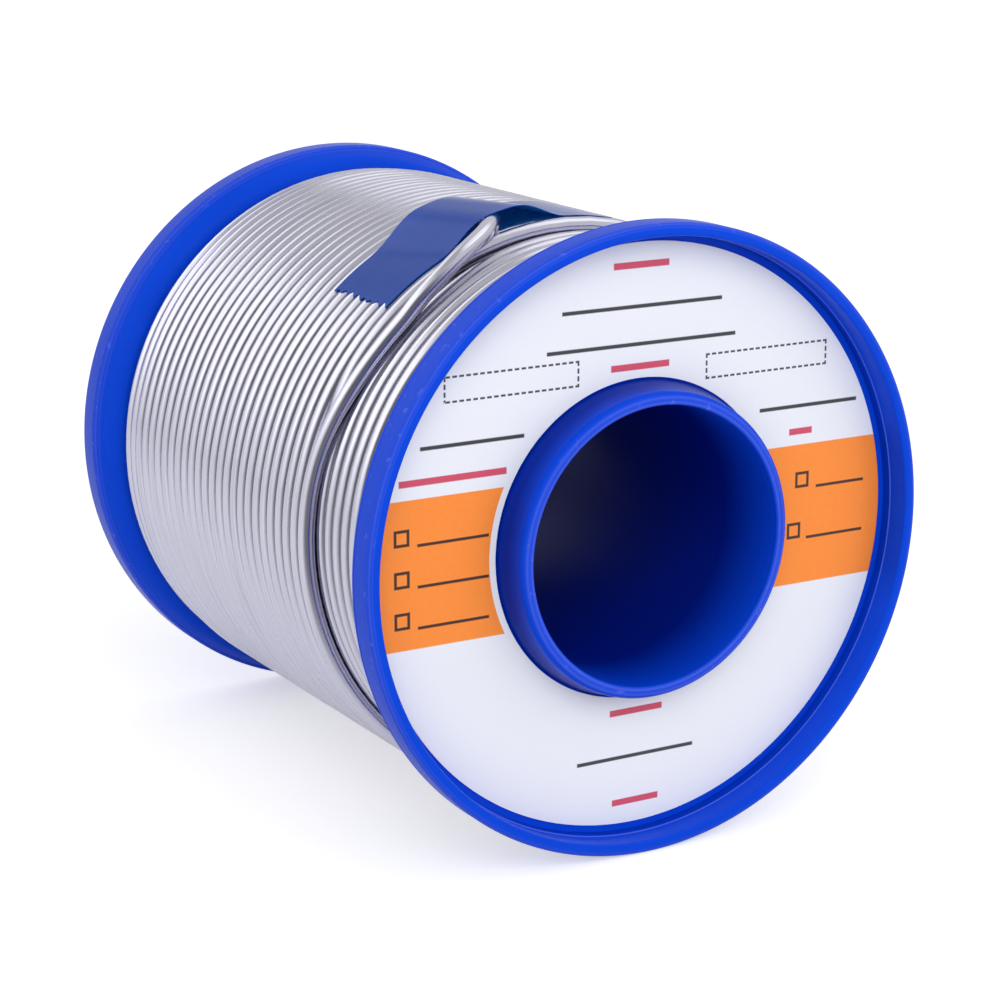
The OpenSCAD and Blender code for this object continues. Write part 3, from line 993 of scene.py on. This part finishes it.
spot_place = node(streak_group, "ShaderNodeCombineXYZ", {
    0: calc(streak_group, "COSINE", turn_angle), 1: calc(streak_group, "SINE", turn_angle),
    2: calc(streak_group, "MULTIPLY", uv_parts.outputs[0], PATCHES_ALONG),
})
streak_group.links.new(grain(streak_group, ring_place.outputs[0], 1.0, 3.0, 0.6), out.inputs["Streaks"])
streak_group.links.new(grain(streak_group, spot_place.outputs[0], 0.8, 4.0, 0.55), out.inputs["Patches"])
print("node group:", streak_group.name)


# %% Solder material, bright and shaded
def solder(name, dark, light, roughness):
    """Drawn solder between two greys, with a roughness that its dull patches raise."""
    material, tree, shader = blank_material(name, Metallic=1.0)
    streaks = use_group(tree, streak_group, {"Round": 7.0, "Along": 0.05})
    tone = fade(tree, streaks.outputs["Streaks"], 0.3, 0.7)
    tree.links.new(blend(tree, tone, dark, light), shader.inputs["Base Color"])
    dull = fade(tree, streaks.outputs["Patches"], 0.35, 0.7, roughness - 0.05, roughness + 0.1)
    tree.links.new(dull, shader.inputs["Roughness"])
    relief = calc(tree, "MULTIPLY_ADD", streaks.outputs["Patches"], 0.15, streaks.outputs["Streaks"])
    add_relief(tree, shader, relief, 0.3, 0.012)
    print(f"{name}: {len(tree.nodes)} nodes")
    return material


bright_solder = solder("drawn_solder", rgb(195, 194, 209), rgb(217, 216, 230), 0.2)
shaded_solder = solder("shaded_solder", rgb(128, 128, 140), rgb(154, 154, 166), 0.4)
dress(outer_wire, bright_solder, "solder_wire", "wire_outer_layer")
dress(lower_wire, bright_solder, "solder_wire", "wire_inner_layers")
dress(wire_core, shaded_solder, "solder_wire", "wire_inner_layers")

# %% [markdown]
# ## The retaining film
#
# The end of the wire is held by a short strip of blue film, torn off a cutter, so both ends are saw-toothed.
# The strip is a grid laid round the winding. It lies on the crests, bridges the hollows between them, rises
# over the tail as a tent and comes down again behind it. Solidify gives it its thickness. The tent stands
# askew, because the wire under it turns, so its rise and fall begin and end at other angles at the back edge
# than at the front.

# %% Film shape
FILM_FRONT_Y = -18.5
FILM_W = 12.5
FILM_T = 0.09
FILM_NEAR_ANGLE = 41.5
FILM_FAR_ANGLE = -12.0
FILM_CLEAR = 0.04
FILM_LIFT = 2.08
RISE_AT_FRONT = (-28.5, -13.4)
RISE_MORE_AT_BACK = (-4.5, -3.3)
FALL_AT_FRONT = (-10.6, 2.6)
FALL_MORE_AT_BACK = (-5.3, -1.7)
TOOTH_W = 1.55
TOOTH_DEPTH = 1.25
TOOTH_LEAN = 0.62
TOOTH_ZONE = 3.0
SAG_BETWEEN_CRESTS = 0.004
FILM_STEPS_ROUND = 150
FILM_STEPS_ACROSS = 96


def tooth(y):
    """Saw teeth of the cutter, 0 to 1 across one tooth, with uneven tips."""
    place = (y - FILM_FRONT_Y) / TOOTH_W
    share = place - math.floor(place)
    rise = share / TOOTH_LEAN if share < TOOTH_LEAN else (1 - share) / (1 - TOOTH_LEAN)
    return rise * (0.8 + 0.2 * math.sin(5.1 * math.floor(place) + 1.0))


def gentle_step(x, start, end):
    """Runs from 0 at start to 1 at end with no jump of curvature, which would show as a line in the gloss."""
    t = min(1.0, max(0.0, (x - start) / (end - start)))
    return t * t * t * (t * (6 * t - 15) + 10)


def film_radius(angle, y):
    """Radius of the film's underside, down on the crests or lifted over the tail."""
    back = (y - FILM_FRONT_Y) / FILM_W
    rise = gentle_step(-angle, *[a + more * back for a, more in zip(RISE_AT_FRONT, RISE_MORE_AT_BACK)])
    fall = gentle_step(-angle, *[a + more * back for a, more in zip(FALL_AT_FRONT, FALL_MORE_AT_BACK)])
    lift = FILM_LIFT * (rise - fall)
    crest = math.cos(FULL_TURN * (y - helix_y(-angle)) / PITCH)
    sag = SAG_BETWEEN_CRESTS * (0.5 - 0.5 * crest) * (1 - (rise - fall))
    return OUTER_R + WIRE_R + FILM_CLEAR + lift - sag


bm = bmesh.new()
bmesh.ops.create_grid(bm, x_segments=FILM_STEPS_ROUND, y_segments=FILM_STEPS_ACROSS, size=0.5)
for vert in bm.verts:
    share, back = vert.co.x + 0.5, vert.co.y + 0.5
    y = FILM_FRONT_Y + FILM_W * back
    angle = FILM_NEAR_ANGLE + (FILM_FAR_ANGLE - FILM_NEAR_ANGLE) * share
    near_end = max(0.0, 1 - (FILM_NEAR_ANGLE - angle) / TOOTH_ZONE)
    far_end = max(0.0, 1 - (angle - FILM_FAR_ANGLE) / TOOTH_ZONE)
    angle = angle - TOOTH_DEPTH * tooth(y) * near_end + TOOTH_DEPTH * tooth(y) * far_end
    vert.co = round_axis(angle, y, film_radius(angle, y)) * MM
bmesh.ops.solidify(bm, geom=bm.faces[:], thickness=FILM_T * MM)
bmesh.ops.recalc_face_normals(bm, faces=bm.faces)
for face in bm.faces:
    middle = face.calc_center_median()
    outwards = Vector((middle.x, 0, middle.z)).normalized()
    if face.normal.dot(outwards) < -0.3:
        face.material_index = 1
film = new_piece("retaining_film", bm)
print(f"film: {FILM_W} mm wide, {FILM_NEAR_ANGLE - FILM_FAR_ANGLE:.0f} degrees long")

# %% [markdown]
# ### Film material
#
# The film is deep blue and glossy. Seen at a flat angle it mirrors the pale room, so that it looks lighter
# and greyer than it is, and less light comes through it there. Its underside lies in shade, and its brighter
# tones are painted light, so that some blue still shows in it. Stretching it over the wires leaves a faint
# ripple across it.

# %% Film finish
FILM_CLEARNESS = 0.4


def film_finish(name, dark, light, through, roughness, gloss, mirroring):
    """Thin plastic film between two tones, with a faint ripple; some light shines through it."""
    material, tree, shader = blank_material(name, IOR=1.5, Specular_IOR_Level=gloss)
    axis = use_group(tree, axis_group)
    stretch = node(tree, "ShaderNodeMapping", {"Vector": axis.outputs["Place"], "Scale": (0.35, 1.6, 0.35)})
    ripple = grain(tree, stretch.outputs[0], 0.5, 3.0)
    tree.links.new(blend(tree, ripple, dark, light), shader.inputs["Base Color"])
    tree.links.new(calc(tree, "MULTIPLY_ADD", ripple, 0.06, roughness), shader.inputs["Roughness"])
    add_relief(tree, shader, ripple, 0.12, 0.08)
    shine = node(tree, "ShaderNodeBsdfTranslucent", {"Color": through})
    mirror = node(tree, "ShaderNodeFresnel", {"IOR": 1.5})
    clear = calc(tree, "MULTIPLY_ADD", mirror.outputs[0], -mirroring * FILM_CLEARNESS, FILM_CLEARNESS)
    both = node(tree, "ShaderNodeMixShader", {0: clear, 1: shader.outputs[0], 2: shine.outputs[0]})
    tree.links.new(both.outputs[0], tree.nodes["Material Output"].inputs["Surface"])
    print(f"{name}: {len(tree.nodes)} nodes")
    return material


film_face = film_finish(
    "blue_film_face", dark=rgb(26, 76, 178), light=rgb(34, 86, 192), through=rgb(50, 150, 225),
    roughness=0.1, gloss=0.3, mirroring=1.0)
# The underside's brighter tones, and the brighter light through it, are painted light that lifts its shade.
film_back_painted_light = film_finish(
    "blue_film_adhesive_side_painted_light", dark=rgb(0, 165, 245), light=rgb(8, 180, 252), through=rgb(110, 215, 252),
    roughness=0.35, gloss=0.3, mirroring=0.0)
dress(film, film_face, "tape_film", "retaining_tape")
film.data.materials.append(film_back_painted_light)

# %% [markdown]
# ## Sizes of the frame and the dressed model
#
# The dressed model must stay inside the frame's box, so both boxes are written down side by side.

# %% Sizes of the frame and of the dressed model
bpy.context.view_layer.update()
boxes = {"frame": [list(c) for c in cad_box], "dressed": [list(c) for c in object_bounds()]}
print("sizes:", boxes)
